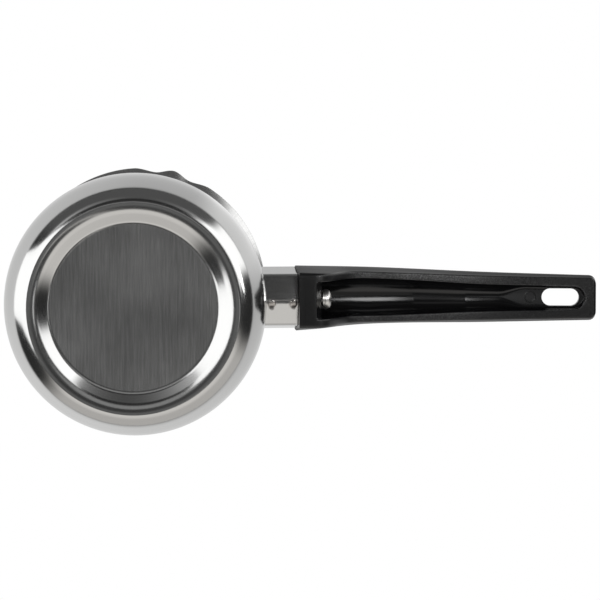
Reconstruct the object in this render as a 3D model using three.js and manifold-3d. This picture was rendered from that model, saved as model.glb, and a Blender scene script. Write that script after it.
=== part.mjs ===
// Stovetop cezve: a drawn steel pot with a pressed pouring lip, a folded sheet ferrule welded to its
// shoulder, and a moulded handle that one screw draws up against the ferrule.
// Millimetres, +Z up. The origin is the centre of the ring that the pot stands on, and the handle points along +X.
import * as THREE from "three";
import { mergeVertices } from "three/addons/utils/BufferGeometryUtils.js";
import Module from "manifold-3d";

// Pot: one drawn shell. Its base is pressed up inside the ring that it stands on, and from that ring it
// swells to a belly, draws in to a neck and flares to the rim
const POT_HEIGHT = 85;
const POT_WALL = 0.9;
const BASE_RADIUS = 30.9;
const BASE_RECESS = 2.6;
const STAND_RADIUS = 37.9;
const STAND_WIDTH = 1;
const BELLY_RADIUS = 48;
const BELLY_HEIGHT = 22;
const NECK_RADIUS = 39.5;
const NECK_HEIGHT = 62.5;
const RIM_RADIUS = 47.2;
const RIM_LEAN = THREE.MathUtils.degToRad(31);
const RIM_REACH = 6.7;

// Fullness of the pot's curves, as shares of the height or width that each one spans
const TURN_REACH = 0.55;
const TURN_FULLNESS = 0.6;
const TURN_START = THREE.MathUtils.degToRad(15);
const BELLY_FULLNESS = 0.45;
const NECK_FULLNESS = 0.35;
const FLARE_FULLNESS = 0.45;

// Pouring lip: a small beak between two pinched dents, pressed into the flare to the right of the handle
const LIP_AZIMUTH = THREE.MathUtils.degToRad(-75);
const LIP_BEAK = 0.5;
const LIP_DENT = 1.3;
const LIP_DENT_ANGLE = THREE.MathUtils.degToRad(8.4);
const LIP_BLEND_ANGLE = THREE.MathUtils.degToRad(18.5);
const LIP_DEPTH = 19;

// Handle axis: the line of the screw, which leaves the pot's shoulder rising a little
const AXIS_HEIGHT = 45;
const AXIS_RISE = THREE.MathUtils.degToRad(6);

// Clearances: where pieces are welded or drawn together, and round the screw
const SEAT_GAP = 0.3;
const BORE_GAP = 0.3;
const SCREW_TO_POT = 4.5;
const UNDER_BORE = 0.9;

// Screw, lock washer, the handle's spigot and the tapped plate, in the order that the screw joins them
const SCREW_RADIUS = 2;
const SCREW_POINT = 0.6;
const SCREW_PAST_PLATE = 1.8;
const HEAD_RADIUS = 3.65;
const HEAD_HEIGHT = 2.8;
const HEAD_DOME = 0.7;
const DRIVE_WIDTH = 1;
const DRIVE_DEPTH = 1.3;
const WASHER_RADIUS = 3.5;
const WASHER_THICKNESS = 0.9;
const WASHER_SPLIT = 0.7;
const SEAT_WALL = 9.6;
const SPIGOT_LENGTH = 6;
const PLATE_THICKNESS = 2.5;

// Ferrule: a sheet folded round to a butt seam underneath, which two tacks of weld close
const FERRULE_SHEET = 0.9;
const FERRULE_WIDTH = 23.4;
const FERRULE_FLOOR_WIDTH = 18;
const FERRULE_FLOOR_FOLD = 3;
const FERRULE_WIDE_RISE = 12;
const FERRULE_TOP_RISE = 17.5;
const FERRULE_TOP_WIDTH = 13.6;
const FERRULE_SEAM_GAP = 0.3;
const FLOOR_FOLD_RADIUS = 1.8;
const SIDE_FOLD_RADIUS = 3;
const TOP_FOLD_RADIUS = 5.5;
const TACK_RADIUS = 1.4;
const TACK_ASIDE = 1.3;
const TACK_PROUD = 0.3;
const TACK_FROM_END = 1.7;
const TACK_SPACING = 7.6;

// Handle: its collar stands proud of the ferrule, and like sizes at four places draw the rest of it,
// measured back from the front face and up from the screw line. Its foot is level under the collar, as
// a block round the screw, and ramps up from there to the palm
const HANDLE_LENGTH = 112.4;
const COLLAR_SIDE = 0.5;
const COLLAR_FOOT_SIDE = 0.8;
const COLLAR_SHOULDER = 7.8;
const COLLAR_TOP = 1.4;
const COLLAR_FOOT = 2.9;
const BLOCK_LENGTH = 11;
const RAMP_LENGTH = 10;
const RAMP_FOOT = 7;
const PALM_AT = 40;
const PALM_FOOT = 6.9;
const GRIP_AT = 30;
const GRIP_WIDTH = 21.4;
const GRIP_FOOT_WIDTH = 18.9;
const GRIP_SHOULDER = 18.4;
const GRIP_CROWN = 24;
const REACH_AT = 72;
const REACH_WIDTH = 18.8;
const REACH_FOOT_WIDTH = 16.8;
const REACH_FOOT = -0.2;
const REACH_SHOULDER = 5.4;
const REACH_CROWN = 9.8;
const TAIL_WIDTH = 16.9;
const TAIL_FOOT_WIDTH = 15.4;
const TAIL_FOOT = -5.4;
const TAIL_SHOULDER = -2.6;
const TAIL_CROWN = 1.8;
const TAIL_CORNER = 2.4;
const TAIL_EDGE_SHARE = 0.5;
const FOOT_EDGE = 0.7;
const FRONT_EDGE = 0.6;

// Channel under the handle, with the land left on each side of it at the same four places, and the
// hanging slot through the tail
const COLLAR_LAND = 2.9;
const GRIP_LAND = 2.5;
const REACH_LAND = 3.4;
const TAIL_LAND = 3.4;
const HANDLE_ROOF = 4.4;
const ROOF_RISE = 15;
const MOUTH_LENGTH = 2.2;
const MOUTH_RISE = 3;
const MOUTH_SIDE = 0.5;
const CHANNEL_DRAFT = 0.95;
const CHANNEL_SPRING = 0.4;
const SLOT_LENGTH = 13.9;
const SLOT_WIDTH = 6.5;
const SLOT_TO_END = 6.5;

// Facets
const POT_SEGMENTS = 68;
const POT_CROWDING = 0.55;
const CURVE_STEPS = 6;
const FOLD_STEPS = 4;
const CROWN_STEPS = 7;
const ROUND_STEPS = 20;
const HANDLE_STATIONS = 32;
const CHANNEL_STATIONS = 26;
const CUT_MARGIN = 2;

// Places along the handle axis that the pieces share, back from the handle's front face
const plateFace = -SPIGOT_LENGTH - SEAT_GAP;
const screwTip = plateFace - PLATE_THICKNESS - SCREW_PAST_PLATE;
const washerFace = SEAT_WALL + SEAT_GAP;
const headFace = washerFace + WASHER_THICKNESS + SEAT_GAP;
const slotFarCentre = HANDLE_LENGTH - SLOT_TO_END - SLOT_WIDTH / 2;

// The seam lies under the screw by the bore, the material left below it and the sheet itself
const boreRadius = SCREW_RADIUS + BORE_GAP;
const seamDrop = boreRadius + UNDER_BORE + SEAT_GAP + FERRULE_SHEET;
const collarFoot = -seamDrop - COLLAR_FOOT;

const wasm = await Module();
wasm.setup();

// Turns a closed three.js geometry into a solid that can be joined and cut.
function toSolid(geometry) {
  const bare = geometry.clone();
  bare.deleteAttribute("normal");
  bare.deleteAttribute("uv");
  const merged = mergeVertices(bare);
  return new wasm.Manifold(
    new wasm.Mesh({
      numProp: 3,
      vertProperties: merged.attributes.position.array,
      triVerts: new Uint32Array(merged.index.array),
    }),
  );
}

// Turns a solid back into a three.js geometry.
function toGeometry(solid) {
  const mesh = solid.getMesh();
  const geometry = new THREE.BufferGeometry();
  geometry.setAttribute("position", new THREE.BufferAttribute(mesh.vertProperties, 3));
  geometry.setIndex(new THREE.BufferAttribute(mesh.triVerts, 1));
  geometry.computeVertexNormals();
  return geometry;
}

// Skins a row of like rings into one closed body, with a fan of faces over each end ring.
function loft(rings) {
  const count = rings[0].length;
  const points = rings.flat();
  const faces = [];
  for (let ring = 0; ring < rings.length - 1; ring++) {
    for (let side = 0; side < count; side++) {
      const next = (side + 1) % count;
      const near = ring * count;
      const far = near + count;
      faces.push(near + side, near + next, far + next);
      faces.push(near + side, far + next, far + side);
    }
  }
  for (const end of [0, rings.length - 1]) {
    const centre = new THREE.Vector3();
    rings[end].forEach((place) => centre.addScaledVector(place, 1 / count));
    const hub = points.push(centre) - 1;
    for (let side = 0; side < count; side++) {
      const edge = [end * count + side, end * count + ((side + 1) % count)];
      faces.push(hub, ...(end === 0 ? edge.reverse() : edge));
    }
  }
  return new THREE.BufferGeometry().setFromPoints(points).setIndex(faces);
}

// Extrudes a shape drawn across the handle axis (sideways, upwards) along that axis, from start to end.
function alongAxis(shape, start, end) {
  const geometry = new THREE.ExtrudeGeometry(shape, { depth: end - start, bevelEnabled: false });
  const across = new THREE.Vector3(0, 1, 0);
  const up = new THREE.Vector3(0, 0, 1);
  const along = new THREE.Vector3(1, 0, 0);
  geometry.applyMatrix4(new THREE.Matrix4().makeBasis(across, up, along));
  return geometry.translate(start, 0, 0);
}

// Revolves a profile of (radius, distance along) points about the handle axis.
function aboutAxis(profile) {
  return new THREE.LatheGeometry(profile, ROUND_STEPS).rotateZ(-Math.PI / 2);
}

function point(x, y) {
  return new THREE.Vector2(x, y);
}

// The outside of the pot from the centre of its base up to the rim, as (radius, height) points.
function potOutside() {
  const disc = point(BASE_RADIUS, BASE_RECESS);
  const standFrom = point(STAND_RADIUS - STAND_WIDTH / 2, 0);
  const standTo = point(STAND_RADIUS + STAND_WIDTH / 2, 0);
  const slopeFoot = point(standFrom.x - STAND_WIDTH / 2, 0);
  const slope = disc.clone().sub(slopeFoot).normalize();
  const belly = point(BELLY_RADIUS, BELLY_HEIGHT);
  const neck = point(NECK_RADIUS, NECK_HEIGHT);
  const rim = point(RIM_RADIUS, POT_HEIGHT);
  const turn = belly.clone().sub(standTo);
  const drawIn = NECK_HEIGHT - BELLY_HEIGHT;
  const flare = POT_HEIGHT - NECK_HEIGHT;
  const curves = [
    new THREE.CubicBezierCurve(
      standTo,
      point(standTo.x + TURN_REACH * turn.x, standTo.y + TURN_REACH * turn.x * Math.tan(TURN_START)),
      point(belly.x, belly.y - TURN_FULLNESS * turn.y),
      belly,
    ),
    new THREE.CubicBezierCurve(
      belly,
      point(belly.x, belly.y + BELLY_FULLNESS * drawIn),
      point(neck.x, neck.y - NECK_FULLNESS * drawIn),
      neck,
    ),
    new THREE.CubicBezierCurve(
      neck,
      point(neck.x, neck.y + FLARE_FULLNESS * flare),
      point(rim.x - RIM_REACH * Math.cos(RIM_LEAN), rim.y - RIM_REACH * Math.sin(RIM_LEAN)),
      rim,
    ),
  ];
  const slopeEnd = slopeFoot.addScaledVector(slope, STAND_WIDTH / 2);
  const points = [point(0, BASE_RECESS), disc, slopeEnd, standFrom, standTo];
  curves.forEach((curve) => points.push(...curve.getPoints(CURVE_STEPS).slice(1)));
  return points;
}

// The pot's outer radius at a height.
function potRadius(height) {
  const points = potOutside();
  const above = points.findLastIndex((place) => place.y <= height) + 1;
  const [low, high] = [points[above - 1], points[above]];
  return THREE.MathUtils.lerp(low.x, high.x, (height - low.y) / (high.y - low.y));
}

// Moves an outline that runs from the axis outwards and up by a distance along its outward normal.
function offsetOutline(points, distance) {
  const normals = points.slice(1).map((end, i) => {
    const run = end.clone().sub(points[i]).normalize();
    return point(run.y, -run.x);
  });
  return points.map((corner, i) => {
    const before = normals[Math.max(i - 1, 0)];
    const after = normals[Math.min(i, normals.length - 1)];
    const middle = before.clone().add(after).normalize();
    return corner.clone().addScaledVector(middle, distance / middle.dot(after));
  });
}

// Revolves a profile about +Z, with the facets crowded together near the lip, and lets a function of
// the angle from the lip and the height push each point outwards.
function revolvePot(profile, push) {
  const geometry = new THREE.LatheGeometry(profile, POT_SEGMENTS).rotateX(Math.PI / 2);
  const places = geometry.getAttribute("position");
  const place = new THREE.Vector3();
  for (let i = 0; i < places.count; i++) {
    place.fromBufferAttribute(places, i);
    const radius = Math.hypot(place.x, place.y);
    const azimuth = Math.atan2(place.y, place.x) - LIP_AZIMUTH;
    const turn = Math.atan2(Math.sin(azimuth), Math.cos(azimuth));
    const angle = turn - POT_CROWDING * Math.sin(turn);
    const pushed = radius + push(angle, place.z);
    places.setXY(i, pushed * Math.cos(LIP_AZIMUTH + angle), pushed * Math.sin(LIP_AZIMUTH + angle));
  }
  return geometry;
}

// How far the pressing of the lip moves the wall outwards.
function lipPress(angle, height) {
  const depth = THREE.MathUtils.smoothstep(height, POT_HEIGHT - LIP_DEPTH, POT_HEIGHT);
  const away = Math.abs(angle);
  const pinch = THREE.MathUtils.smoothstep(away, 0, LIP_DENT_ANGLE);
  const fade = THREE.MathUtils.smoothstep(away, LIP_DENT_ANGLE, LIP_BLEND_ANGLE);
  return depth * (THREE.MathUtils.lerp(LIP_BEAK, -LIP_DENT, pinch) + LIP_DENT * fade);
}

function makePot() {
  const outside = potOutside();
  const inside = offsetOutline(outside, -POT_WALL);
  return revolvePot([...outside, ...inside.reverse()], lipPress);
}

// The pot filled to the rim and grown by a gap, which trims what is welded to its side.
function makePotTrim(gap) {
  const outside = offsetOutline(potOutside(), gap);
  const rim = outside[outside.length - 1];
  return revolvePot([...outside, point(0, rim.y)], () => 0);
}

// The ferrule's outer section moved inwards, from the seam round to the seam, with rounded folds.
function ferruleOutline(inset) {
  const half = [
    [point(FERRULE_FLOOR_WIDTH / 2, FERRULE_FLOOR_FOLD - seamDrop), FLOOR_FOLD_RADIUS],
    [point(FERRULE_WIDTH / 2, FERRULE_WIDE_RISE), SIDE_FOLD_RADIUS],
    [point(FERRULE_TOP_WIDTH / 2, FERRULE_TOP_RISE), TOP_FOLD_RADIUS],
  ];
  const mirrored = half.map(([corner, radius]) => [point(-corner.x, corner.y), radius]).reverse();
  const folds = [[point(0, -seamDrop), 0], ...half, ...mirrored];
  const lines = folds.map(([start], i) => {
    const [end] = folds[(i + 1) % folds.length];
    const along = end.clone().sub(start).normalize();
    const inwards = point(-along.y, along.x);
    return { along, start: start.clone().addScaledVector(inwards, inset) };
  });
  const outline = [];
  folds.forEach(([, radius], i) => {
    const into = lines[(i + lines.length - 1) % lines.length];
    const out = lines[i];
    const turn = into.along.cross(out.along);
    const reach = out.start.clone().sub(into.start).cross(out.along) / turn;
    const corner = into.start.clone().addScaledVector(into.along, reach);
    const cut = Math.max(radius - inset, 0) * Math.tan(Math.asin(turn) / 2);
    if (cut === 0) {
      outline.push(corner);
      return;
    }
    const fold = new THREE.QuadraticBezierCurve(
      corner.clone().addScaledVector(into.along, -cut),
      corner,
      corner.clone().addScaledVector(out.along, cut),
    );
    outline.push(...fold.getPoints(FOLD_STEPS));
  });
  return outline;
}

// Opens an outline at its first point, the seam, by half the seam's gap to each side.
function openAtSeam(outline) {
  const seam = outline[0];
  const edge = (other) => seam.clone().lerp(other, FERRULE_SEAM_GAP / 2 / Math.abs(other.x - seam.x));
  return [edge(outline[1]), ...outline.slice(1), edge(outline[outline.length - 1])];
}

// A tack of weld over the seam, sunk in one flap of the floor, that stands a little proud of it.
function makeTack(along) {
  const slope = Math.atan2(FERRULE_FLOOR_FOLD, FERRULE_FLOOR_WIDTH / 2);
  const sunk = (FERRULE_SHEET - TACK_PROUD) / 2;
  const tack = new THREE.SphereGeometry(TACK_RADIUS, ROUND_STEPS / 2, FOLD_STEPS + 1);
  tack.rotateX(Math.PI / 2).scale(1, 1, (sunk + TACK_PROUD) / TACK_RADIUS);
  tack.translate(0, 0, sunk).rotateX(slope);
  return toSolid(tack.translate(along, TACK_ASIDE, TACK_ASIDE * Math.tan(slope) - seamDrop));
}

function makeFerrule(potTrim, fromPotAxis) {
  const outer = openAtSeam(ferruleOutline(0));
  const inner = openAtSeam(ferruleOutline(FERRULE_SHEET));
  const sheet = new THREE.Shape([...outer, ...inner.reverse()]);
  const sleeve = toSolid(alongAxis(sheet, -fromPotAxis, -SEAT_GAP))
    .add(makeTack(-TACK_FROM_END))
    .add(makeTack(-TACK_FROM_END - TACK_SPACING));
  return toGeometry(sleeve.subtract(potTrim));
}

// The tapped plate across the ferrule, which takes the screw.
function makePlate() {
  const plate = new THREE.Shape(ferruleOutline(FERRULE_SHEET + SEAT_GAP));
  plate.holes.push(new THREE.Path().absarc(0, 0, boreRadius, 0, 2 * Math.PI));
  return alongAxis(plate, plateFace - PLATE_THICKNESS, plateFace);
}

const handleSizes = new THREE.CubicInterpolant(
  [0, GRIP_AT, REACH_AT, HANDLE_LENGTH],
  [
    FERRULE_WIDTH + 2 * COLLAR_SIDE,
    FERRULE_FLOOR_WIDTH + 2 * COLLAR_FOOT_SIDE,
    COLLAR_SHOULDER,
    FERRULE_TOP_RISE + COLLAR_TOP,
    COLLAR_LAND,
    ...[GRIP_WIDTH, GRIP_FOOT_WIDTH, GRIP_SHOULDER, GRIP_CROWN, GRIP_LAND],
    ...[REACH_WIDTH, REACH_FOOT_WIDTH, REACH_SHOULDER, REACH_CROWN, REACH_LAND],
    ...[TAIL_WIDTH, TAIL_FOOT_WIDTH, TAIL_SHOULDER, TAIL_CROWN, TAIL_LAND],
  ],
  5,
);
const footLine = new THREE.CubicInterpolant(
  [0, BLOCK_LENGTH, BLOCK_LENGTH + RAMP_LENGTH, PALM_AT, REACH_AT, HANDLE_LENGTH],
  [collarFoot, collarFoot, RAMP_FOOT, PALM_FOOT, REACH_FOOT, TAIL_FOOT],
  1,
);

// The handle's half widths and heights at a distance from its front face.
function handleAt(along) {
  const [width, footWidth, shoulder, crown, land] = handleSizes.evaluate(along);
  const [foot] = footLine.evaluate(along);
  const channelHalf = footWidth / 2 - land;
  return { half: width / 2, footHalf: footWidth / 2, foot, shoulder, crown, channelHalf };
}

// Mirrors the right half of a section, which runs from the bottom to its topmost point, into a whole ring.
function wholeRing(along, half) {
  const left = half.slice(0, -1).reverse();
  const right = half.map(([side, up]) => new THREE.Vector3(along, side, up));
  return [...right, ...left.map(([side, up]) => new THREE.Vector3(along, -side, up))];
}

// A quarter of an ellipse from its widest point on the right up to its top.
function quarterRound(half, spring, top) {
  const turns = [...Array(CROWN_STEPS + 1).keys()].map((step) => (step * Math.PI) / 2 / CROWN_STEPS);
  return turns.map((turn) => [half * Math.cos(turn), spring + (top - spring) * Math.sin(turn)]);
}

// The outside of the handle, drawn in where its front edge and its tail are rounded.
function handleRing(along, drawnIn) {
  const { half, footHalf, foot, shoulder, crown } = handleAt(along);
  const edge = TAIL_EDGE_SHARE * drawnIn;
  return wholeRing(along, [
    [footHalf - drawnIn - FOOT_EDGE, foot + edge],
    [footHalf - drawnIn, foot + edge + FOOT_EDGE],
    ...quarterRound(half - drawnIn, shoulder, crown - edge),
  ]);
}

function makeHandleOutside() {
  const rings = [handleRing(0, FRONT_EDGE)];
  const straight = HANDLE_LENGTH - TAIL_CORNER - FRONT_EDGE;
  for (let i = 0; i <= HANDLE_STATIONS; i++) {
    rings.push(handleRing(FRONT_EDGE + (straight * i) / HANDLE_STATIONS, 0));
  }
  for (let i = 1; i <= FOLD_STEPS; i++) {
    const turn = (i * Math.PI) / 2 / FOLD_STEPS;
    const along = HANDLE_LENGTH - TAIL_CORNER * (1 - Math.sin(turn));
    rings.push(handleRing(along, TAIL_CORNER * (1 - Math.cos(turn))));
  }
  return toSolid(loft(rings));
}

// A section of the channel, from below the foot up to its rounded roof.
function channelRing(along, halfWidth, roof) {
  const { foot } = handleAt(along);
  const spring = foot + CHANNEL_SPRING * (roof - foot);
  const arch = quarterRound(CHANNEL_DRAFT * halfWidth, spring, roof);
  return wholeRing(along, [[halfWidth, foot - CUT_MARGIN], ...arch]);
}

// The top of the channel: straight along the screw line, until the handle comes down to it.
function roofAt(along) {
  return Math.min(ROOF_RISE, handleAt(along).crown - HANDLE_ROOF);
}

// The channel, from its sloping mouth and the flat seat of the screw to a round end about the slot.
function makeChannel() {
  const rings = [];
  for (const share of [0, 1]) {
    const along = SEAT_WALL - MOUTH_LENGTH * (1 - share);
    const { foot, channelHalf } = handleAt(along);
    rings.push(channelRing(along, channelHalf - MOUTH_SIDE * (1 - share), foot + MOUTH_RISE * share));
  }
  for (let i = 0; i <= CHANNEL_STATIONS; i++) {
    const along = SEAT_WALL + ((slotFarCentre - SEAT_WALL) * i) / CHANNEL_STATIONS;
    rings.push(channelRing(along, handleAt(along).channelHalf, roofAt(along)));
  }
  const endRadius = handleAt(slotFarCentre).channelHalf;
  for (let i = 1; i <= FOLD_STEPS; i++) {
    const turn = (i * Math.PI) / 2 / (FOLD_STEPS + 1);
    const along = slotFarCentre + endRadius * Math.sin(turn);
    rings.push(channelRing(along, endRadius * Math.cos(turn), roofAt(along)));
  }
  return toSolid(loft(rings));
}

// The hanging slot, upright through the tail.
function makeSlot() {
  const round = SLOT_WIDTH / 2;
  const shape = new THREE.Shape();
  shape.absarc(0, 0, round, -Math.PI / 2, Math.PI / 2);
  shape.absarc(SLOT_WIDTH - SLOT_LENGTH, 0, round, Math.PI / 2, (3 * Math.PI) / 2);
  const { foot, crown } = handleAt(slotFarCentre);
  const depth = SLOT_LENGTH + crown - foot;
  const options = { depth, bevelEnabled: false, curveSegments: 2 * FOLD_STEPS };
  const slot = new THREE.ExtrudeGeometry(shape, options);
  slot.translate(0, 0, -depth / 2).rotateY(AXIS_RISE);
  return toSolid(slot.translate(slotFarCentre, 0, (foot + crown) / 2));
}

function makeHandle() {
  const spigotShape = new THREE.Shape(ferruleOutline(FERRULE_SHEET + SEAT_GAP));
  const spigot = toSolid(alongAxis(spigotShape, -SPIGOT_LENGTH, FRONT_EDGE + CUT_MARGIN));
  const boreLength = 2 * (SPIGOT_LENGTH + SEAT_WALL);
  const bore = new THREE.CylinderGeometry(boreRadius, boreRadius, boreLength, ROUND_STEPS);
  const handle = makeHandleOutside()
    .add(spigot)
    .subtract(makeChannel())
    .subtract(makeSlot())
    .subtract(toSolid(bore.rotateZ(Math.PI / 2)));
  return toGeometry(handle);
}

// The split lock washer on the seat in the channel's front wall.
function makeWasher() {
  const ring = aboutAxis([
    point(boreRadius, washerFace),
    point(WASHER_RADIUS, washerFace),
    point(WASHER_RADIUS, washerFace + WASHER_THICKNESS),
    point(boreRadius, washerFace + WASHER_THICKNESS),
    point(boreRadius, washerFace),
  ]);
  const split = new THREE.BoxGeometry(3 * WASHER_THICKNESS, 2 * WASHER_RADIUS, WASHER_SPLIT);
  split.translate(washerFace + WASHER_THICKNESS / 2, WASHER_RADIUS, 0);
  return toGeometry(toSolid(ring).subtract(toSolid(split)));
}

function makeScrew() {
  const headEnd = headFace + HEAD_HEIGHT;
  const shoulder = headEnd - HEAD_DOME;
  const turned = aboutAxis([
    point(0, screwTip),
    point(SCREW_RADIUS - SCREW_POINT, screwTip),
    point(SCREW_RADIUS, screwTip + SCREW_POINT),
    point(SCREW_RADIUS, headFace),
    point(HEAD_RADIUS, headFace),
    point(HEAD_RADIUS, shoulder),
    point(HEAD_RADIUS - HEAD_DOME, headEnd - HEAD_DOME / 4),
    point(0, headEnd),
  ]);
  const drive = new THREE.BoxGeometry(2 * DRIVE_DEPTH, DRIVE_WIDTH, 3 * HEAD_RADIUS);
  drive.translate(headEnd, 0, 0);
  return toGeometry(toSolid(turned).subtract(toSolid(drive)));
}

const polishedSteel = { color: 0xc8c8c6, roughness: 0.18, metalness: 1 };
const sheetSteel = { color: 0xbdbdba, roughness: 0.28, metalness: 1 };
const platedSteel = { color: 0xd0cfc9, roughness: 0.25, metalness: 1 };
const blackMoulding = { color: 0x141414, roughness: 0.3, metalness: 0 };

function piece(name, geometry, finish) {
  const mesh = new THREE.Mesh(geometry, new THREE.MeshStandardMaterial(finish));
  mesh.name = name;
  return mesh;
}

// The handle's set starts where the axis leaves the pot, and stands off by the screw's end and a clearance
const frontFace = potRadius(AXIS_HEIGHT) + SCREW_TO_POT - screwTip;
const handleSet = new THREE.Group();
handleSet.position.set(frontFace, 0, AXIS_HEIGHT);
handleSet.rotation.y = -AXIS_RISE;
handleSet.updateMatrix();
const potTrim = makePotTrim(SEAT_GAP).applyMatrix4(handleSet.matrix.clone().invert());
handleSet.add(
  piece("ferrule", makeFerrule(toSolid(potTrim), frontFace), sheetSteel),
  piece("tapped_plate", makePlate(), platedSteel),
  piece("handle", makeHandle(), blackMoulding),
  piece("lock_washer", makeWasher(), platedSteel),
  piece("handle_screw", makeScrew(), platedSteel),
);

const cezve = new THREE.Group();
cezve.add(piece("pot_body", makePot(), polishedSteel), handleSet);

export default cezve;
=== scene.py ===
"""Stovetop cezve: a polished steel pot with a pressed lip, a folded sheet ferrule and a moulded handle.

Builds the dressed pieces in place of the frame's plain solids, gives them their finishes and sets a
white studio round them. Lengths are metres, +Z is up and the handle points along +X.
"""
import math

import bmesh
import bpy
from bpy.props import FloatProperty, FloatVectorProperty, PointerProperty
from mathutils import Matrix, Vector
from mathutils.geometry import interpolate_bezier


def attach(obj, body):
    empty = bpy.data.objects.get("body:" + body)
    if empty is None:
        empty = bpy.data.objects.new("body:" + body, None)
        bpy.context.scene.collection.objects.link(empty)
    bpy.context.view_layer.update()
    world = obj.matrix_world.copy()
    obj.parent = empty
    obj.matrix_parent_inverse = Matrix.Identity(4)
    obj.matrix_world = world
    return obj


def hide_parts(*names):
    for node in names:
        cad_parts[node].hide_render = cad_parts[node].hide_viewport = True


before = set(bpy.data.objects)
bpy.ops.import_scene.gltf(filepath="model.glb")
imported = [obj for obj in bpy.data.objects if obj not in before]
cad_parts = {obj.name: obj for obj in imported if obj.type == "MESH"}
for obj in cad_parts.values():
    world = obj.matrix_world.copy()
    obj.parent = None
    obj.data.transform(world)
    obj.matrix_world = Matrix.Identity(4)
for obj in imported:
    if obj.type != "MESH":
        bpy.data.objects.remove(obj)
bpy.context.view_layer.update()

bl_info = {
    "name": "Cezve",
    "version": (1, 0, 0),
    "blender": (4, 5, 0),
    "location": "3D View > Sidebar > Cezve",
    "description": "Builds a stovetop cezve with a screwed-on handle",
    "category": "Add Mesh",
}

MM = 0.001
FULL_TURN = 2 * math.pi
QUARTER_TURN = FULL_TURN / 4

# Fullness of the pot's curves, as shares of the height or width that each one spans
TURN_REACH = 0.55
TURN_START = math.radians(15)
TURN_FULLNESS = 0.6
BELLY_FULLNESS = 0.45
NECK_FULLNESS = 0.35
FLARE_FULLNESS = 0.45
DOME_POWER = 6

# Shares that shape the handle, the screw's head and every rounded corner
SIDE_FULLNESS = 0.35
HEAD_FULLNESS = 0.6
ROOF_FIT = 0.95
PLAIN_SHARE = 0.9
CORNER_FULLNESS = 0.4

# Steps of the meshes
POT_STEPS = 256
DISC_STEPS = 24
FOOT_STEPS = 40
WALL_STEPS = 22
FOLD_STEPS = 8
SHEET_STEPS = 9
SPIGOT_STEPS = 7
FERRULE_ROWS = 14
TACK_STEPS = 32
TURNED_STEPS = 64
WASHER_STEPS = 48
HEAD_STEPS = 10
ROOF_STEPS = 13
CHANNEL_WALL_STEPS = 5
EDGE_STEPS = 4
LAND_STEPS = 4
FOOT_EDGE_STEPS = 6
SIDE_STEPS = 10
CROWN_STEPS = 18
MOUTH_STEPS = 6
CHANNEL_STEPS = 60
END_STEPS = 18
TAIL_STEPS = 8
FLOOR_STEPS = 96
HALVINGS = 40
KINK_STEP = 0.06 * MM
TOUCHING = 0.001 * MM

# Joints between the pieces, and how far the search for the pot's wall and the cuts go
WELD_GAP = 0.06 * MM
SEAT_GAP = 0.3 * MM
END_GAP = 0.1 * MM
SEAT_STEP = 0.05 * MM
SPIGOT_ROOT = 3 * MM
FERRULE_REACH = 30 * MM
SLOT_REACH = 20 * MM
END_TURN = math.radians(84)
END_POINT = 0.3 * MM
END_SHARE = 0.8
WASHER_START = math.radians(97)
WASHER_LIFT = 0.1 * MM

# Rounded edges
CREASE = math.radians(35)
BEVEL_ANGLE = math.radians(40)
RIM_EDGE = 0.3 * MM
SHEET_EDGE = 0.12 * MM
SCREW_EDGE = 0.12 * MM
WASHER_EDGE = 0.1 * MM

# Where finishes change: radii, heights, distances from a weld, and places along and across the handle
BRUSHED_RADII = (30.4 * MM, 30.9 * MM)
BRUSHED_HEIGHTS = (2.7 * MM, 5 * MM)
FLARE_HEIGHTS = (64 * MM, 70 * MM)
HEAT_REACH = (0.8 * MM, 2.4 * MM)
# Reach and offset of the near-black patch laid on the sheet beside each weld tack
DARK_PATCH_REACH = (0.5 * MM, 1.4 * MM)
DARK_PATCH_ASIDE = 1.5 * MM
BLOTCH_SHIFT = 1.6 * MM
WEAR_START = (74 * MM, 84 * MM)
WEAR_FADE = (105 * MM, 140 * MM)
WEAR_ACROSS = (-4 * MM, 4 * MM)
LAND_RISE = (0.1 * MM, 0.5 * MM)
SIDE_RISE = (0.3 * MM, 1 * MM)
SIDE_ASIDE = (-0.4 * MM, 0)
MARK_EDGE = 0.1 * MM
MARK_INSIDE = 0.86

# Patterns of the finishes: lines, streaks and clouds in a metre, and the layer of noise for a brush
TURNED_LINES = 2600
STREAKS = (60, 30)
FINE_BRUSH = (4200, 140, 3.3)
COARSE_BRUSH = (1300, 60, 7.7)
SMUDGES = 28
INSIDE_LINES = 1500
ROLLING_LINES = (160, 2200)
BLOTCHES = 700
PLATING_CLOUDS = 900
GRAIN = 2600
MOULDING_CLOUDS = 260
FLOW_LINES = (60, 300)

# Heights of those patterns
BRUSH_RELIEF = 0.005 * MM
INSIDE_RELIEF = 0.006 * MM
ROLLING_RELIEF = 0.003 * MM
PLATING_RELIEF = 0.02 * MM
MOULDING_RELIEF = 0.02 * MM

# The floor and the lamp above it
FLOOR_RADIUS = 6
FLOOR_DROP = 0.1 * MM
FLOOR_FADE = (0.2, 0.5)
FLOOR_TONE = 0.85
LAMP_SIZE = 0.7
LAMP_PLACE = (-0.35, -0.45, 0.95)
LAMP_AIM = (0.4, 0.45, -0.9)

# The large panel on the left: where it stands, and its half widths at heights, in millimetres
LEFT_AZIMUTH = math.radians(172)
LEFT_DISTANCE = 280
LEFT_HALVES = [(78, 68), (105, -100), (140, -200), (190, -330), (200, -430), (200, -650)]

# Corners of the small panel under the handle and of the cards under its tail and the pot, in millimetres
STRIP_LIGHT = [(84, -30, -36), (94, -12, -36), (110, -12, -36), (110, -53, -36), (98, -53, -36)]
TAIL_CARD = [(84, 5, -300), (118, 5, -300), (118, 50, -300), (84, 50, -300)]
GREY_CARD = [(-110, -50, -300), (110, -50, -300), (110, -145, -300), (-110, -145, -300)]

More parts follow.
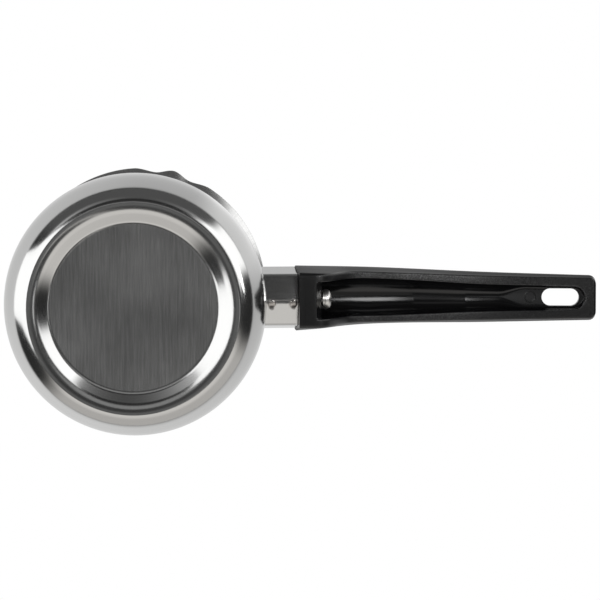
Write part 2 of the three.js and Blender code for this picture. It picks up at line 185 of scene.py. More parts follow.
# Panels painted on the studio: azimuth, half width, spread and softness in degrees, lowest and highest Z
RIGHT_PANEL = (29, 14, 26, 4, -0.77, 0.2)
WALL_PANEL = (-79, 55, 0, 8, -0.84, 0.18)
BACK_PANEL = (92, 52, 0, 8, -0.68, 0.18)
PANEL_EDGE = 0.03
WALL_TINT = {"Red": 0.76, "Green": 0.74, "Blue": 0.71}

# Levels of the painted studio, and the directions between which they change
DIM_LEVEL = 0.022
SKY_LEVEL = 0.62
SKY_EDGE = (0.16, 0.26)
SKY_LEAN = 0.05
SKY_LEFT = 0.22
SKY_FRONT = 0.32
SKY_FRONT_EDGE = (0.15, 0.5)
SKY_PATCH = 0.3
SKY_PATCH_AZIMUTH = 32
SKY_PATCH_EDGE = (12, 30)
SKY_TOP = 0.1
SKY_TOP_EDGE = (0.9, 1)
GROUND_LEVEL = 0.04
GROUND_EDGE = (-0.86, -0.78)
GROUND_SLANT = (0.02, 0.9, 0.2)
GROUND_RANGE = (-0.02, 0.1)
GROUND_MIDDLE = (-0.985, -0.95)
WALL_LEVEL = 1.18
WALL_DIMMING = 0.33
WALL_EDGE = (-0.68, -0.4)
GLEAM_LEVEL = 0.76
GLEAM_ACROSS = (0.07, 0.14, 0.02)
GLEAM_ALONG = (0.16, 0.6, 0.04)
GLEAM_EDGE = (-0.86, -0.82)
BACK_LEVEL = 0.09
BACK_MIDDLE = 88
BACK_REACH = 40
BACK_CORNERS = 0.35
BACK_EDGE = (-0.6, -0.45)


def length(name, description, millimetres):
    """A length for a sidebar, with its default in millimetres."""
    return FloatProperty(name=name, description=description, default=millimetres * MM, unit="LENGTH")


def angle(name, description, degrees):
    """An angle for a sidebar, with its default in degrees."""
    return FloatProperty(name=name, description=description, default=math.radians(degrees), unit="ROTATION")


def lengths(name, description, *millimetres):
    """A row of lengths for a sidebar, with their defaults in millimetres."""
    return FloatVectorProperty(
        name=name,
        description=description,
        size=len(millimetres),
        default=[value * MM for value in millimetres],
        unit="LENGTH",
    )


def share(name, description, default):
    """A plain factor for a sidebar."""
    return FloatProperty(name=name, description=description, default=default, unit="NONE")


def colour(name, description, *default):
    """A colour for a sidebar."""
    return FloatVectorProperty(
        name=name, description=description, size=3, default=default, subtype="COLOR", unit="NONE"
    )


class PotSizes(bpy.types.PropertyGroup):
    """Sizes of the drawn pot."""

    height: length("Height", "Height of the rim", 85)
    wall: length("Wall", "Thickness of the sheet", 0.9)
    base_radius: length("Base radius", "Radius of the pressed-up disc in the base", 30.9)
    base_recess: length("Base recess", "Height of that disc over the ring that the pot stands on", 2.75)
    base_dome: length("Base dome", "How far the middle of that disc stands out of it", 0.2)
    base_fold: length("Base fold", "Radius of the fold round that disc", 3.2)
    stand_radius: length("Stand radius", "Radius of the ring that the pot stands on", 37.9)
    stand_slope: length("Stand slope", "How far inside that ring the slope to the disc starts", 2)
    stand_flat: length("Stand flat", "How far outside that ring the belly starts", 0.7)
    stand_round: length("Stand round", "Radius of the turn from that slope to the ring", 8)
    belly_round: length("Belly round", "Radius of the turn from the ring to the belly", 1.2)
    belly_radius: length("Belly radius", "Largest radius", 48)
    belly_height: length("Belly height", "Height of the largest radius", 22)
    neck_radius: length("Neck radius", "Smallest radius above the belly", 39.5)
    neck_height: length("Neck height", "Height of the neck", 62.5)
    rim_radius: length("Rim radius", "Radius of the rim", 47.2)
    rim_lean: angle("Rim lean", "Angle of the flare to the horizontal at the rim", 31)
    rim_reach: length("Rim reach", "How far that angle shapes the flare", 6.7)
    lip_azimuth: angle("Lip azimuth", "Direction of the pouring lip", -75)
    lip_beak: length("Lip beak", "How far the lip's tip stands out", 0.5)
    lip_dent: length("Lip dent", "How far the wall is pinched in beside the tip", 1.3)
    lip_dent_angle: angle("Dent angle", "Angle from the tip to the dents", 8.4)
    lip_blend_angle: angle("Blend angle", "Angle from the tip to the round wall", 18.5)
    lip_depth: length("Lip depth", "How far down the lip is pressed", 19)


class FerruleSizes(bpy.types.PropertyGroup):
    """Sizes of the folded ferrule, from the line of the handle's screw."""

    axis_height: length("Axis height", "Height of the screw line at the handle's front face", 45.09)
    axis_rise: angle("Axis rise", "Angle at which the screw line rises", 6)
    front_face: length("Front face", "Distance of the handle's front face from the pot's axis", 59.3)
    sheet: length("Sheet", "Thickness of the sheet", 0.9)
    seam_drop: length("Seam drop", "Distance of the seam below the screw line", 4.4)
    seam_gap: length("Seam gap", "Width of the open seam", 0.12)
    seam_step: length("Seam step", "How far one side of the seam is pressed in", 0.22)
    seam_roll: length("Seam roll", "How far from the seam that starts", 1)
    seam_round: length("Seam round", "Radius of that bend", 6.5)
    floor_width: length("Floor width", "Width between the floor's folds", 19.2)
    floor_fold: length("Floor fold", "Rise of the floor from the seam to its folds", 3)
    width: length("Width", "Largest width", 23.4)
    wide_rise: length("Wide rise", "Height of the largest width over the screw line", 12)
    top_width: length("Top width", "Width between the top folds", 13.6)
    top_rise: length("Top rise", "Height of the top over the screw line", 17.5)
    fold_radii: lengths("Fold radii", "Radii of the floor, side and top folds", 1.8, 3, 5.5)
    tack_radius: length("Tack radius", "Radius of a weld tack", 1.5)
    tack_proud: length("Tack proud", "How far a tack stands out of the sheet", 0.42)
    tack_aside: length("Tack aside", "Distance of a tack's middle from the seam", 1.3)
    tack_places: lengths("Tack places", "Distances of the tacks from the handle", 1.9, 10)


class HandleSizes(bpy.types.PropertyGroup):
    """Sizes of the moulded handle at its collar, grip, reach and tail, from the line of its screw."""

    places: lengths("Places", "Distances from the front face", 0, 29.1, 71.1, 111.5)
    widths: lengths("Widths", "Largest widths", 24.2, 21.4, 18.8, 16.7)
    foot_widths: lengths("Foot widths", "Widths of the underside", 21, 19.1, 16.8, 15.4)
    lands: lengths("Lands", "Widths of the land on each side of the channel", 3.6, 2.6, 3.4, 3.4)
    shoulders: lengths("Shoulders", "Heights of the largest width", 7.8, 18.4, 5.4, -2.6)
    crowns: lengths("Crowns", "Heights of the top", 18.9, 24, 9.8, 1.8)
    foot_places: lengths(
        "Foot places", "Where the underside changes its height", 0, 10.1, 20.1, 39.1, 71.1, 111.5
    )
    feet: lengths("Feet", "Heights of the underside at those places", -7.3, -7.3, 7, 6.9, -0.2, -5.4)
    tail_corner: length("Tail corner", "Radius of the tail's corners", 2.4)
    tail_edge_share: share("Tail edge share", "How much less the tail is rounded in height", 0.5)
    foot_edges: lengths("Foot edges", "Radii of the underside's outer edges", 1.6, 0.8, 0.8, 0.8)
    front_edge: length("Front edge", "Radius of the front face's edge", 0.2)
    roof_places: lengths("Roof places", "Where the channel's roof changes its slope", 0, 45, 64, 111.5)
    roofs: lengths("Roofs", "Heights of the roof at those places", 16.5, 14.2, 7.43, -1.4)
    channel_edge: length("Channel edge", "Radius of the channel's edges", 0.5)
    roof_round: length("Roof round", "Radius of the channel's roof", 7)
    flat_places: lengths("Flat places", "Between which places the roof turns flat", 76, 86)
    roof_flat: share("Roof flat", "Flat share of the width beyond them", 0.6)
    mouth_flat: share("Mouth flat", "Flat share of the width at the channel's mouth", 0.85)
    channel_past: length("Channel past", "How far the channel goes on round the hanging slot", 0.6)
    mouth: length("Mouth", "Distance of the channel's mouth from the front face", 5.85)
    mouth_rise: length("Mouth rise", "Height of the slope from the mouth to the screw's seat", 4.4)
    mouth_corner: length("Mouth corner", "How far the channel narrows at its mouth", 1.4)
    seat_wall: length("Seat wall", "Distance of the screw's seat from the front face", 8.7)
    spigot: length("Spigot", "Length of the spigot in the ferrule", 6.9)
    slot_length: length("Slot length", "Length of the hanging slot", 13.9)
    slot_width: length("Slot width", "Width of the hanging slot", 6.5)
    slot_to_end: length("Slot to end", "Distance of the slot from the tail's end", 5.8)
    mark_place: length("Mark place", "Distance of the mould's round ejector mark from the front", 87.4)
    mark_radius: length("Mark radius", "Radius of that mark", 2.1)


class ScrewSizes(bpy.types.PropertyGroup):
    """Sizes of the screw and its washer."""

    radius: length("Radius", "Radius of the shank", 2)
    bore_radius: length("Bore radius", "Radius of the hole that it passes through", 2.3)
    tip: length("Tip", "Distance of its tip in front of the handle's front face", 11.5)
    point: length("Point", "Chamfer of the tip", 0.6)
    head_radius: length("Head radius", "Radius of the head", 3.65)
    head_face: length("Head face", "Distance of the head's seat from the handle's front face", 9.95)
    head_height: length("Head height", "Height of the head", 2.8)
    head_dome: length("Head dome", "Height of the rounded part of the head", 1.9)
    drive_width: length("Drive width", "Width of the driving slot", 1)
    drive_depth: length("Drive depth", "Depth of the driving slot", 1.3)
    washer_radius: length("Washer radius", "Outer radius of the split washer", 3.5)
    washer_face: length("Washer face", "Distance of the washer from the handle's front face", 9.05)
    washer_thickness: length("Washer thickness", "Thickness of the washer", 0.8)
    washer_turn: angle("Washer turn", "Angle that the split washer goes round", 345)


class Finishes(bpy.types.PropertyGroup):
    """Colours of the finishes."""

    steel: colour("Steel", "Polished steel", 0.57, 0.57, 0.565)
    plating: colour("Plating", "Plated screw and washer", 0.7, 0.69, 0.67)
    heat_tint: colour("Heat tint", "Straw-brown oxide round the weld tacks", 0.2, 0.12, 0.06)
    # Colour of a near-black patch laid on the sheet beside each weld tack, offset to one side of it
    dark_patch: colour("Dark patch", "Dark oxide beside the weld tacks", 0.03, 0.027, 0.025)
    moulding: colour("Moulding", "Black moulded handle", 0.005, 0.005, 0.0055)
    worn: colour("Worn", "Worn spots of the handle's underside", 0.08, 0.08, 0.08)


class StageSettings(bpy.types.PropertyGroup):
    """Camera and light."""

    view_tilt: angle("View tilt", "Tilt of the view from straight below", 4.306)
    view_distance: length("View distance", "Distance of the camera", 1490)
    view_across: length("View across", "Width that the picture takes in at the pot's foot", 216.24)
    view_centre: lengths("View centre", "Where the view meets the plane of the pot's foot", 60.2, -3.15)
    ambient: share("Ambient", "Plain light from all round", 0.75)
    softboxes: share("Softboxes", "Brightness of the two large panels", 1.75)
    strip_light: share("Strip light", "Brightness of the small panel below the handle", 8)
    grey_card: share("Grey card", "Brightness of the card under the pot", 0.32)
    tail_card: share("Tail card", "Brightness of the card below the hanging slot", 1)
    key_power: FloatProperty(
        name="Key power", description="Power of the soft lamp above", default=4, unit="POWER"
    )


class Shade:
    """A socket of a node tree. Sums of shades and numbers become Math nodes."""

    def __init__(self, tree, socket=None):
        self.tree = tree
        self.socket = socket

    def node(self, kind, settings=None, values=None, out=0):
        """Add a node with its settings, fill its sockets with values or links, and return an output."""
        made = self.tree.nodes.new(kind)
        for name, value in (settings or {}).items():
            setattr(made, name, value)
        for name, value in (values or {}).items():
            if isinstance(value, Shade):
                self.tree.links.new(value.socket, made.inputs[name])
            else:
                made.inputs[name].default_value = value
        return Shade(self.tree, made.outputs[out] if made.outputs else None)

    def out(self, name):
        """Another output of the node that this socket belongs to."""
        return Shade(self.tree, self.socket.node.outputs[name])

    def math(self, operation, *values):
        """A Math node."""
        return self.node("ShaderNodeMath", {"operation": operation}, dict(enumerate(values)))

    def __add__(self, other):
        return self.math("ADD", self, other)

    def __sub__(self, other):
        return self.math("SUBTRACT", self, other)

    def __rsub__(self, other):
        return self.math("SUBTRACT", other, self)

    def __mul__(self, other):
        return self.math("MULTIPLY", self, other)

    def __truediv__(self, other):
        return self.math("DIVIDE", self, other)

    def __pow__(self, other):
        return self.math("POWER", self, other)

    __radd__ = __add__
    __rmul__ = __mul__

    def at_least(self, low):
        """The greater of this and a number."""
        return self.math("MAXIMUM", self, low)

    def step(self, low, high):
        """Rises smoothly from 0 to 1 between two values."""
        values = {"Value": self, "From Min": low, "From Max": high}
        return self.node("ShaderNodeMapRange", {"interpolation_type": "SMOOTHSTEP"}, values)

    def band(self, low, high, soft):
        """1 between two values, with soft ends."""
        return self.step(low - soft, low + soft) * (1 - self.step(high - soft, high + soft))

    def vector(self, x, y, z):
        """A vector from three values."""
        return self.node("ShaderNodeCombineXYZ", None, {"X": x, "Y": y, "Z": z})

    def object_place(self):
        """The Object coordinates."""
        return self.node("ShaderNodeTexCoord", out="Object")

    def parts(self):
        """The X, Y and Z of this vector."""
        x = self.node("ShaderNodeSeparateXYZ", None, {"Vector": self})
        return x, x.out("Y"), x.out("Z")

    def distance(self, place):
        """The distance of this vector from a place."""
        return self.node("ShaderNodeVectorMath", {"operation": "DISTANCE"}, {0: self, 1: place}, "Value")

    def noise(self, vector, scale=1, detail=3):
        """Noise from about 0.3 to 0.7."""
        values = {"Vector": vector, "Scale": scale, "Detail": detail}
        return self.node("ShaderNodeTexNoise", None, values)

    def mix(self, factor, first, second):
        """A colour between two colours."""
        return self.node("ShaderNodeMix", {"data_type": "RGBA"}, {0: factor, 6: first, 7: second}, 2)

    def bump(self, height, distance):
        """A normal bent by a height."""
        return self.node("ShaderNodeBump", None, {"Strength": 1, "Distance": distance, "Height": height})


def rgba(triple, factor=1):
    """A colour socket's value from three numbers."""
    return (*[part * factor for part in triple], 1)


def new_material(name):
    """An empty material, and a shade to start its nodes from."""
    material = bpy.data.materials.new(name)
    material.use_nodes = True
    material.node_tree.nodes.clear()
    return material, Shade(material.node_tree)


def close_material(material, shade, surface):
    """Give a material its surface."""
    shade.node("ShaderNodeOutputMaterial", None, {"Surface": surface})
    return material


def principled(material, shade, values):
    """Give a material a Principled BSDF."""
    return close_material(material, shade, shade.node("ShaderNodeBsdfPrincipled", None, values))


def polished_steel(finishes):
    """Bright steel: turned hairlines on the wall, straight brush lines on the base, streaks on the flare."""
    material, shade = new_material("polished steel")
    place = shade.object_place()
    x, y, z = place.parts()
    radius = (x * x + y * y) ** 0.5
    along = radius + z
    round_x = x / radius
    round_y = y / radius
    hairlines = shade.noise(shade.vector(round_x, round_y, along * TURNED_LINES))
    wide, tall = STREAKS
    streaks = shade.noise(shade.vector(round_x * wide, round_y * wide, along * tall), detail=2)
    fine, coarse = [
        shade.noise(shade.vector(x * across, y * down, layer))
        for across, down, layer in (FINE_BRUSH, COARSE_BRUSH)
    ]
    brushed = fine * 0.5 + coarse * 0.5
    smudge = shade.noise(place, SMUDGES)
    base = (1 - radius.step(*BRUSHED_RADII)) * (1 - z.step(*BRUSHED_HEIGHTS))
    flare = z.step(*FLARE_HEIGHTS)
    wall = (1 - base) * (1 - flare)
    lines = brushed * base * 0.5 + hairlines * wall
    tone = 1 + ((brushed - 0.5) * 1.1 + (smudge - 0.5) * 1.1) * base + (streaks - 0.5) * flare * 0.35
    values = {
        "Base Color": shade.mix(tone * 0.5, rgba((0, 0, 0)), rgba(finishes.steel, 2)),
        "Metallic": 1,
        "Roughness": 0.12 + 0.04 * base + 0.1 * flare + smudge * 0.06,
        "Normal": shade.bump(lines, BRUSH_RELIEF),
    }
    return principled(material, shade, values)


def brushed_inside(finishes):
    """Satin steel inside the pot, with fine lines round it."""
    material, shade = new_material("brushed inside")
    x, y, z = shade.object_place().parts()
    radius = (x * x + y * y) ** 0.5
    lines = shade.noise(shade.vector(x / radius * 2, y / radius * 2, (radius + z) * INSIDE_LINES))
    values = {
        "Base Color": shade.mix(lines, rgba(finishes.steel, 0.85), rgba(finishes.steel, 1.1)),
        "Metallic": 1,
        "Roughness": 0.24 + lines * 0.1,
        "Normal": shade.bump(lines, INSIDE_RELIEF),
    }
    return principled(material, shade, values)


def sheet_steel(finishes, tacks):
    """Polished sheet with faint rolling lines, tinted round the weld tacks, with a near-black patch beside
    each.
    """
    material, shade = new_material("sheet steel")
    place = shade.object_place()
    x, y, z = place.parts()
    along, across = ROLLING_LINES
    lines = shade.noise(shade.vector(x * along, y * across, z * across))
    shift = (shade.noise(place, BLOTCHES) - 0.5) * BLOTCH_SHIFT

    def near(spots, reach):
        """1 at each of some spots, with a blotchy edge."""
        return sum(1 - (place.distance(spot) + shift).step(*reach) for spot in spots)

    heat = near(tacks, HEAT_REACH)
    # A near-black patch, offset to one side of each tack, laid over the tint
    dark_patch = near([tack + Vector((0, DARK_PATCH_ASIDE, 0)) for tack in tacks], DARK_PATCH_REACH)
    tinted = shade.mix(heat * 0.3, rgba(finishes.steel), rgba(finishes.heat_tint))
    values = {
        "Base Color": shade.mix(dark_patch * 0.85, tinted, rgba(finishes.dark_patch)),
        "Metallic": 1,
        "Roughness": 0.1 + lines * 0.1 + heat * 0.15,
        "Normal": shade.bump(lines, ROLLING_RELIEF),
    }
    return principled(material, shade, values)


def plated_steel(finishes):
    """Bright plating with a slightly uneven gloss."""
    material, shade = new_material("plated steel")
    cloud = shade.noise(shade.object_place(), PLATING_CLOUDS)
    values = {
        "Base Color": rgba(finishes.plating),
        "Metallic": 1,
        "Roughness": 0.28 + cloud * 0.14,
        "Normal": shade.bump(cloud, PLATING_RELIEF),
    }
    return principled(material, shade, values)


def black_moulding(finishes, mark, mark_radius):
    """Black thermoset: glossy in the channel, worn on the land, dull at the sides, with a round mark."""
    material, shade = new_material("black moulding")
    place = shade.object_place()
    x, y, z = place.parts()
    land, side = [
        shade.node("ShaderNodeAttribute", {"attribute_name": name}, None, "Fac") for name in ("land", "side")
    ]
    grain = shade.noise(place, GRAIN)
    cloud = shade.noise(place, MOULDING_CLOUDS)
    along, across = FLOW_LINES
    flow = shade.noise(shade.vector(x * along, y * across, z * across))
    away = shade.vector(x, y, 0).distance((mark.x, mark.y, 0))
    ring = away.band(mark_radius * MARK_INSIDE, mark_radius, MARK_EDGE)
    held = x.step(*WEAR_START) * (1 - 0.55 * x.step(*WEAR_FADE)) * (1 - 0.5 * y.step(*WEAR_ACROSS))
    worn = land * held * grain.step(0.4, 0.64)
    values = {
        "Base Color": shade.mix(worn, rgba(finishes.moulding), rgba(finishes.worn)),
        "Roughness": 0.13 + flow * 0.08 + land * 0.22 + side * 0.32 + ring * 0.3,
        "Specular IOR Level": 0.5,
        "Normal": shade.bump(grain * 0.3 * land + cloud * 0.4 + ring * 1.5, MOULDING_RELIEF),
    }
    return principled(material, shade, values)


def floor_material():
    """A pale floor that shades to white far out and can't be seen from below."""
    material, shade = new_material("floor")
    x, y, _ = shade.object_place().parts()
    far = ((x * x + y * y) ** 0.5).step(*FLOOR_FADE)
    pale = shade.node("ShaderNodeBsdfDiffuse", None, {"Color": rgba((FLOOR_TONE,) * 3)})
    white = shade.node("ShaderNodeEmission", None, {"Color": rgba((1, 1, 1))})
    clear = shade.node("ShaderNodeBsdfTransparent")
    below = shade.node("ShaderNodeNewGeometry", out="Backfacing")
    seen = shade.node("ShaderNodeMixShader", None, {0: far, 1: pale, 2: white})
    surface = shade.node("ShaderNodeMixShader", None, {0: below, 1: seen, 2: clear})
    return close_material(material, shade, surface)


def glow_material(strength):
    """A plain glow."""
    material, shade = new_material("glow")
    values = {"Color": rgba((1, 1, 1)), "Strength": strength}
    return close_material(material, shade, shade.node("ShaderNodeEmission", None, values))


def at(radius, height):
    """A point of a profile in the XZ plane."""
    return Vector((radius, 0, height))


def rounded(corners, steps):
    """A line through corners, each given with the radius that it is turned with."""
    line = []
    for index, (place, radius) in enumerate(corners):
        if radius == 0:
            line.append(place)
            continue
        before = (corners[index - 1][0] - place).normalized()
        after = (corners[(index + 1) % len(corners)][0] - place).normalized()
        cut = radius / math.tan(before.angle(after) / 2)
        start = place + before * cut
        end = place + after * cut
        handles = [place.lerp(tip, CORNER_FULLNESS) for tip in (start, end)]
        line += interpolate_bezier(start, *handles, end, steps)
    return line


def smoothstep(value, low, high):
    """Rises smoothly from 0 to 1 between two values."""
    part = min(max((value - low) / (high - low), 0), 1)
    return part * part * (3 - 2 * part)


def shares(steps):
    """Even shares from 0 to 1."""
    return [step / steps for step in range(steps + 1)]


def quarter_turns(steps):
    """Even angles from 0 to a quarter turn."""
    return [QUARTER_TURN * part for part in shares(steps)]


def skin(rows, columns, place):
    """A sheet of points in rows and columns, each put where place(row, column) says."""
    bm = bmesh.new()
    bmesh.ops.create_grid(bm, x_segments=rows - 1, y_segments=columns - 1, size=1)
    for vert in bm.verts:
        row = round((vert.co.x + 1) / 2 * (rows - 1))
        column = round((vert.co.y + 1) / 2 * (columns - 1))
        vert.co = place(row, column)
    return bm


def face_outwards(bm, way):
    """Turn an open shell so that its face that lies furthest along a direction also looks that way."""
    bmesh.ops.recalc_face_normals(bm, faces=bm.faces)
    furthest = max(bm.faces, key=lambda face: face.calc_center_median().dot(way))
    if furthest.normal.dot(way) < 0:
        bmesh.ops.reverse_faces(bm, faces=bm.faces)


def close_ends(bm):
    """Fill the open ends of a body and turn its faces outwards."""
    bmesh.ops.holes_fill(bm, edges=[edge for edge in bm.edges if edge.is_boundary])
    bmesh.ops.recalc_face_normals(bm, faces=bm.faces)


def tube(rings):
    """A closed body through rings of the same number of points."""
    count = len(rings[0])
    bm = skin(len(rings), count + 1, lambda row, column: rings[row][column % count])
    bmesh.ops.remove_doubles(bm, verts=bm.verts, dist=TOUCHING)
    close_ends(bm)
    return bm


def turned(profile, steps=TURNED_STEPS, turn=FULL_TURN, advance=0):
    """A body or shell turned from a profile in the XZ plane about Z."""
    bm = bmesh.new()
    verts = [bm.verts.new(place) for place in profile]
    edges = [bm.edges.new(pair) for pair in zip(verts, verts[1:])]
    bmesh.ops.spin(
        bm,
        geom=verts + edges,
        axis=(0, 0, 1),
        cent=(0, 0, 0),
        dvec=(0, 0, advance / steps),
        angle=turn,
        steps=steps,
        use_merge=turn == FULL_TURN,
    )
    bmesh.ops.remove_doubles(bm, verts=bm.verts, dist=TOUCHING)
    bmesh.ops.recalc_face_normals(bm, faces=bm.faces)
    return bm


def add_object(name, bm, place=None):
    """A new object from a mesh under construction, put in its place."""
    if place is not None:
        bmesh.ops.transform(bm, matrix=place, verts=bm.verts)
    mesh = bpy.data.meshes.new(name)
    bm.to_mesh(mesh)
    bm.free()
    made = bpy.data.objects.new(name, mesh)
    bpy.context.scene.collection.objects.link(made)
    return made


def combine(target, other, operation):
    """Join another object to this one, or cut this one with it, and remove the other."""
    modifier = target.modifiers.new(operation, "BOOLEAN")
    modifier.object = other
    modifier.operation = operation
    modifier.solver = "EXACT"
    result = target.evaluated_get(bpy.context.evaluated_depsgraph_get())
    mesh = bpy.data.meshes.new_from_object(result)
    target.modifiers.clear()
    old = target.data
    target.data = mesh
    bpy.data.meshes.remove(old)
    bpy.data.meshes.remove(other.data)


def finish_piece(piece, node, materials):
    """Shade a piece smooth between its creases, give it its materials and put it in a node's place."""
    bm = bmesh.new()
    bm.from_mesh(piece.data)
    for face in bm.faces:
        face.smooth = True
    for edge in bm.edges:
        edge.smooth = edge.calc_face_angle(0) < CREASE
    bm.to_mesh(piece.data)
    bm.free()
    piece.data.materials.clear()
    for material in materials:
        piece.data.materials.append(material)
    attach(piece, "root")
    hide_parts(node)


def add_wall(piece, thickness):
    """Give a shell its thickness, inwards."""
    wall = piece.modifiers.new("wall", "SOLIDIFY")
    wall.thickness = thickness
    wall.offset = -1
    wall.use_even_offset = True
    return wall


def add_bevel(piece, width, segments=2):
    """Round a piece's sharp edges."""
    bevel = piece.modifiers.new("edges", "BEVEL")
    bevel.affect = "EDGES"
    bevel.limit_method = "ANGLE"
    bevel.angle_limit = BEVEL_ANGLE
    bevel.width = width
    bevel.segments = segments
    bevel.profile = 0.5
    bevel.harden_normals = True
    bevel.material = -1


def pot_outline(sizes):
    """The outside of the pot from the middle of its base up to the rim, in the XZ plane."""
    stand = at(sizes.stand_radius + sizes.stand_flat, 0)
    belly = at(sizes.belly_radius, sizes.belly_height)
    neck = at(sizes.neck_radius, sizes.neck_height)
    rim = at(sizes.rim_radius, sizes.height)
    turn = belly - stand
    draw_in = sizes.neck_height - sizes.belly_height
    flare = sizes.height - sizes.neck_height
    lean = at(math.cos(sizes.rim_lean), math.sin(sizes.rim_lean))
    start = at(TURN_REACH * turn.x, TURN_REACH * turn.x * math.tan(TURN_START))
    swell = belly - at(0, TURN_FULLNESS * turn.z)
    foot = interpolate_bezier(stand, stand + start, swell, belly, FOOT_STEPS)
    line = []
    for part in shares(DISC_STEPS)[:-1]:
        dome = sizes.base_dome * (1 - part**DOME_POWER)
        line.append(at(sizes.base_radius * part, sizes.base_recess - dome))
    line += rounded(
        [
            (line.pop(), 0),
            (at(sizes.base_radius, sizes.base_recess), sizes.base_fold),
            (at(sizes.stand_radius - sizes.stand_slope, 0), sizes.stand_round),
            (stand, sizes.belly_round),
            (foot[1], 0),
        ],
        FOLD_STEPS,
    )
    line += foot[2:]
    curves = [
        (belly, belly + at(0, BELLY_FULLNESS * draw_in), neck - at(0, NECK_FULLNESS * draw_in), neck),
        (neck, neck + at(0, FLARE_FULLNESS * flare), rim - lean * sizes.rim_reach, rim),
    ]
    for curve in curves:
        line += interpolate_bezier(*curve, WALL_STEPS)[1:]
    return line


def pot_radius(sizes, height):
    """The pot's outer radius at a height above its standing ring."""
    line = pot_outline(sizes)
    for low, high in zip(line, line[1:]):
        if low.x > sizes.stand_radius and low.z <= height <= high.z:
            return low.lerp(high, (height - low.z) / (high.z - low.z)).x
    raise ValueError("the pot has no wall at this height")


def press_lip(bm, sizes):
    """Press the pouring lip into the flare: a small beak between two pinched dents."""
    for vert in bm.verts:
        depth = smoothstep(vert.co.z, sizes.height - sizes.lip_depth, sizes.height)
        if depth == 0:
            continue
        azimuth = math.atan2(vert.co.y, vert.co.x) - sizes.lip_azimuth
        away = abs(math.atan2(math.sin(azimuth), math.cos(azimuth)))
        pinch = smoothstep(away, 0, sizes.lip_dent_angle)
        fade = smoothstep(away, sizes.lip_dent_angle, sizes.lip_blend_angle)
        push = sizes.lip_beak * (1 - pinch) - sizes.lip_dent * (pinch - fade)
        outwards = Vector((vert.co.x, vert.co.y, 0)).normalized()
        vert.co += outwards * push * depth


def axis_frame(ferrule):
    """From places along, across and above the handle's screw line to places in the frame."""
    place = Matrix.Translation((ferrule.front_face, 0, ferrule.axis_height))
    return place @ Matrix.Rotation(-ferrule.axis_rise, 4, "Y")


def ferrule_corners(sizes, inset):
    """The folds of the ferrule's section moved inwards, from its seam round to its seam."""
    floor, side, top = sizes.fold_radii
    half = [
        (Vector((0, sizes.floor_width / 2, sizes.floor_fold - sizes.seam_drop)), floor),
        (Vector((0, sizes.width / 2, sizes.wide_rise)), side),
        (Vector((0, sizes.top_width / 2, sizes.top_rise)), top),
    ]
    mirrored = [(Vector((0, -place.y, place.z)), radius) for place, radius in reversed(half)]
    corners = [(Vector((0, 0, -sizes.seam_drop)), 0), *half, *mirrored]
    moved = []
    for index, (place, radius) in enumerate(corners):
        into = (place - corners[index - 1][0]).normalized()
        out = (corners[(index + 1) % len(corners)][0] - place).normalized()
        across = Vector((0, -into.z, into.y))
        middle = (across + Vector((0, -out.z, out.y))).normalized()
        moved.append((place + middle * inset / middle.dot(across), max(radius - inset, 0)))
    return moved


def ferrule_tacks(sizes):
    """The middles of the weld tacks on the outside of the floor, and the floor's slope there."""
    slope = math.atan2(sizes.floor_fold, sizes.floor_width / 2)
    lift = sizes.tack_aside * math.tan(slope) - sizes.seam_drop
    return [Vector((-place, sizes.tack_aside, lift)) for place in sizes.tack_places], slope


def add_ferrule(pot, sizes):
    """The folded sleeve, its end scribed to the pot's wall, with one side of its seam pressed in."""
    frame_of = axis_frame(sizes)
    corners = ferrule_corners(sizes, 0)
    seam = corners[0][0]
    opened = [
        (seam + (place - seam).normalized() * sizes.seam_gap / 2, 0)
        for place in (corners[1][0], corners[-1][0])
    ]
    pressed = opened[0][0] + Vector((0, 0, sizes.seam_step))
    bend = seam + (corners[1][0] - seam).normalized() * sizes.seam_roll
    line = rounded([(pressed, 0), (bend, sizes.seam_round), *corners[1:], opened[1]], SHEET_STEPS)

    def reach(place):
        """How far along the screw line the sheet meets the pot, by halving."""
        low = -FERRULE_REACH
        high = 0
        for _ in range(HALVINGS):
            middle = (low + high) / 2
            spot = frame_of @ (place + Vector((middle, 0, 0)))
            outside = math.hypot(spot.x, spot.y) > pot_radius(pot, spot.z) + WELD_GAP
            low, high = (low, middle) if outside else (middle, high)
        return high

    starts = [reach(place) for place in line]

    def place_point(row, column):
        """A point of the sheet, in rows from the pot's wall to the handle."""
        start = starts[column]
        along = start + (-END_GAP - start) * row / (FERRULE_ROWS - 1)
        return frame_of @ (line[column] + Vector((along, 0, 0)))

    bm = skin(FERRULE_ROWS, len(line), place_point)
    face_outwards(bm, Vector((0, 0, 1)))
    return add_object("ferrule_sleeve", bm)


def add_tacks(sizes):
    """The two tacks of weld that close the ferrule's seam."""
    frame_of = axis_frame(sizes)
    places, slope = ferrule_tacks(sizes)
    bm = bmesh.new()
    for place in places:
        shape = Matrix.Diagonal((1, 1, sizes.tack_proud / sizes.tack_radius, 1))
        turn = Matrix.Rotation(slope, 4, "X")
        bmesh.ops.create_uvsphere(
            bm,
            u_segments=TACK_STEPS,
            v_segments=TACK_STEPS // 2,
            radius=sizes.tack_radius,
            matrix=frame_of @ Matrix.Translation(place) @ turn @ shape,
        )
    return add_object("weld_tacks", bm)


def stretch(places, along):
    """The number of the stretch between two places that a distance lies in."""
    return sum(along > place for place in list(places)[1:-1])


def through(places, values, along):
    """A smooth curve through values at places, as a cubic through each pair with averaged slopes."""
    index = stretch(places, along)
    slopes = [(values[i + 1] - values[i]) / (places[i + 1] - places[i]) for i in range(len(places) - 1)]
    gap = places[index + 1] - places[index]
    start = (slopes[max(index - 1, 0)] + slopes[index]) / 2
    end = (slopes[index] + slopes[min(index + 1, len(slopes) - 1)]) / 2
    part = (along - places[index]) / gap
    low, high = values[index : index + 2]
    lift = high - low
    first = gap * start - lift
    second = lift - gap * end
    return low + part * lift + part * (1 - part) * ((1 - part) * first + part * second)


